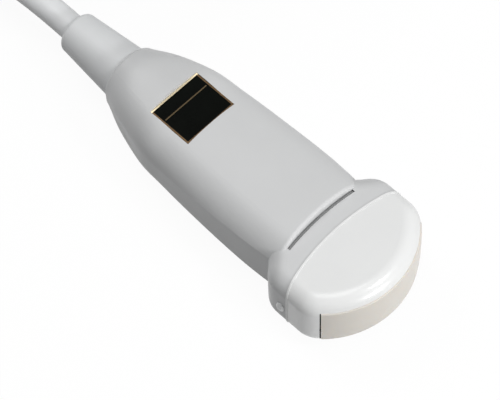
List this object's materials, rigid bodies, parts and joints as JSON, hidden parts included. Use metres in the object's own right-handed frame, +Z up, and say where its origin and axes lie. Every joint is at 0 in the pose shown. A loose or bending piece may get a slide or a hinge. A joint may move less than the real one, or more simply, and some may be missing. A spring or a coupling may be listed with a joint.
{
  "type": "ultrasound transducer probe",
  "caption": "Hand-held curved-array ultrasound probe with a tapered housing, a white nose and lens, a coiled cable and a system connector with a turning lock.",
  "frame": {"origin": "centre of the belly's flat, on the centre plane, where the probe rests", "axes": "+X along the probe towards the lens, +Y across it, +Z up out of the crown with the label plate"},
  "size_m": [0.2564, 0.1108, 0.0712],
  "materials": {
    "housing": "satin light grey",
    "nose": "smooth white",
    "lens": "smooth silicone",
    "seal": "satin",
    "marker": "smooth",
    "plate": "smooth dark",
    "trim": "satin",
    "boot": "matte",
    "cable": "matte jacket",
    "tie": "woven strap",
    "matching": "filled resin",
    "ceramic": "fired ceramic",
    "backing": "cast",
    "moulding": "moulded",
    "flex": "amber film",
    "board": "solder mask",
    "chips": "moulded",
    "sheet": "rolled sheet",
    "shield": "tinned",
    "screws": "machined",
    "connector_case": "fine texture",
    "connector_metal": "satin",
    "contacts": "plated",
    "lever": "smooth",
    "shaft": "turned"
  },
  "bodies": {
    "probe": {"acoustic_lens": "lens", "array_frame": "moulding", "backing_block": "backing", "board_nuts": "screws", "board_screws": "screws", "board_spacers": "screws", "braid_ferrule": "shield", "cable_clamp": "screws", "cable_coil": "cable", "cable_end": "cable", "cable_lead": "cable", "cable_tail": "cable", "centre_plate": "sheet", "clamp_screws": "screws", "coax_headers": "moulding", "coil_tie": "tie", "connector_board": "board", "connector_cable_end": "cable", "connector_crimp_ring": "shield", "connector_lower_case": "connector_case", "connector_screws": "screws", "connector_strain_relief": "boot", "connector_upper_case": "connector_case", "contact_block": "moulding", "contact_pins": "contacts", "flex_sockets": "moulding", "inner_matching_layer": "matching", "label_plate": "plate", "label_trim": "trim", "lower_board": "board", "lower_flex_circuit": "flex", "lower_shell": "housing", "lower_shield": "shield", "mating_frame": "connector_metal", "nose_piece": "nose", "nose_seal": "seal", "orientation_marker": "marker", "outer_matching_layer": "matching", "piezo_elements": "ceramic", "strain_relief": "boot", "tuning_chips": "chips", "upper_board": "board", "upper_flex_circuit": "flex", "upper_shell": "housing", "upper_shield": "shield"},
    "lock": {"lock_lever": "lever", "lock_shaft": "shaft", "lock_screw": "screws"}
  },
  "joints": [
    {"name": "lock_turn", "type": "hinge", "parent": "probe", "child": "lock", "pos_m": [-0.1001, 0.0479, 0.0618], "axis": [0, 0, 1], "range_deg": [0, 90]}
  ]
}
